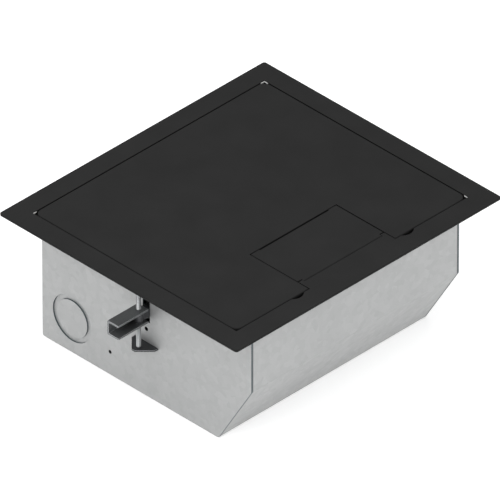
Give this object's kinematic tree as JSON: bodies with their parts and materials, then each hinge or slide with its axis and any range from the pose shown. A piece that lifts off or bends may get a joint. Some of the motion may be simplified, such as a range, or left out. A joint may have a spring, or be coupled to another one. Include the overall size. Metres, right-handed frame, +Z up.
{
  "type": "floor socket box",
  "caption": "Raised-floor socket box: black flush trim frame with hinged lid and cable flap over a galvanised box with a sloped front, swing-out floor clamps, power sockets and data jacks.",
  "frame": {"origin": "centre of the base of the whole part's box", "axes": "+Z up, +X along the lid hinge to the right when facing the cable flap, -Y towards the cable flap and the sloped front"},
  "size_m": [0.3136, 0.2712, 0.1293],
  "materials": {
    "black_powder_coat": "satin black powder coat",
    "galvanised_steel": "hot-dip galvanised sheet, fine spangle",
    "zinc_plated_steel": "bright zinc plating",
    "dark_steel": "dark phosphated steel",
    "white_nylon": "moulded nylon",
    "black_rubber": "matte",
    "grey_nylon": "moulded nylon",
    "grey_thermoplastic": "smooth moulded",
    "black_phenolic": "moulded",
    "brass": "bright",
    "white_polycarbonate": "smooth moulded"
  },
  "bodies": {
    "box": {"box_wrap": "galvanised_steel", "cover_rail": "galvanised_steel", "data_jack_1": "white_polycarbonate", "data_jack_2": "white_polycarbonate", "data_jack_3": "white_polycarbonate", "data_jack_4": "white_polycarbonate", "data_jack_contacts": "brass", "data_plate": "grey_nylon", "data_plate_screws": "zinc_plated_steel", "device_panel": "galvanised_steel", "device_panel_rivets": "dark_steel", "divider_screws": "zinc_plated_steel", "earth_nut": "brass", "earth_stud": "brass", "earth_washer": "brass", "flap_bumpers": "black_rubber", "flap_carrier": "black_powder_coat", "flap_carrier_screws": "zinc_plated_steel", "flap_pins": "zinc_plated_steel", "frame_corner_keys": "white_nylon", "frame_nuts": "zinc_plated_steel", "frame_screws": "zinc_plated_steel", "left_clamp_bracket": "dark_steel", "left_clamp_rivet": "dark_steel", "left_side_panel": "galvanised_steel", "lid_bumpers": "black_rubber", "lid_hinge_pins": "zinc_plated_steel", "lower_receptacle_body": "black_phenolic", "lower_receptacle_contacts": "brass", "lower_receptacle_face": "grey_thermoplastic", "lower_receptacle_strap": "zinc_plated_steel", "power_plate": "grey_nylon", "power_plate_screws": "zinc_plated_steel", "receptacle_screws": "zinc_plated_steel", "right_clamp_bracket": "dark_steel", "right_clamp_rivet": "dark_steel", "right_side_panel": "galvanised_steel", "terminal_screws": "brass", "trim_frame": "black_powder_coat", "upper_receptacle_body": "black_phenolic", "upper_receptacle_contacts": "brass", "upper_receptacle_face": "grey_thermoplastic", "upper_receptacle_strap": "zinc_plated_steel", "voltage_divider": "galvanised_steel", "wiring_cover": "galvanised_steel", "wiring_cover_screws": "zinc_plated_steel"},
    "lid": {"lid_plate": "black_powder_coat", "lid_pan": "galvanised_steel"},
    "flap": {"cable_flap": "black_powder_coat"},
    "left_screw": {"left_clamp_screw": "zinc_plated_steel", "left_clamp_clip": "zinc_plated_steel"},
    "left_nut": {"left_clamp_nut": "dark_steel"},
    "left_arm": {"left_clamp_arm": "dark_steel"},
    "right_screw": {"right_clamp_screw": "zinc_plated_steel", "right_clamp_clip": "zinc_plated_steel"},
    "right_nut": {"right_clamp_nut": "dark_steel"},
    "right_arm": {"right_clamp_arm": "dark_steel"}
  },
  "joints": [
    {"name": "lid_hinge", "type": "hinge", "parent": "box", "child": "lid", "pos_m": [0, 0.107, 0.1253], "axis": [-1, 0, 0], "range_deg": [0, 130]},
    {"name": "flap_hinge", "type": "hinge", "parent": "box", "child": "flap", "pos_m": [0, -0.10415, 0.1278], "axis": [1, 0, 0], "range_deg": [0, 100]},
    {"name": "left_screw_turn", "type": "hinge", "parent": "box", "child": "left_screw", "pos_m": [-0.1275, 0, 0.1148], "axis": [0, 0, -1], "range_deg": [-2722, 9072]},
    {"name": "left_nut_climb", "type": "slide", "parent": "box", "child": "left_nut", "axis": [0, 0, 1], "range_m": [-0.006, 0.02]},
    {"name": "left_arm_swing", "type": "hinge", "parent": "left_nut", "child": "left_arm", "pos_m": [-0.1275, 0, 0.084], "axis": [0, 0, 1], "range_deg": [0, 90]},
    {"name": "right_screw_turn", "type": "hinge", "parent": "box", "child": "right_screw", "pos_m": [0.1275, 0, 0.1148], "axis": [0, 0, -1], "range_deg": [-2722, 9072]},
    {"name": "right_nut_climb", "type": "slide", "parent": "box", "child": "right_nut", "axis": [0, 0, 1], "range_m": [-0.006, 0.02]},
    {"name": "right_arm_swing", "type": "hinge", "parent": "right_nut", "child": "right_arm", "pos_m": [0.1275, 0, 0.084], "axis": [0, 0, 1], "range_deg": [0, 90]}
  ],
  "couplings": [
    {"joint": "left_screw_turn", "follows": "left_nut_climb", "rad_per_m": 7915.8},
    {"joint": "right_screw_turn", "follows": "right_nut_climb", "rad_per_m": 7915.8}
  ]
}
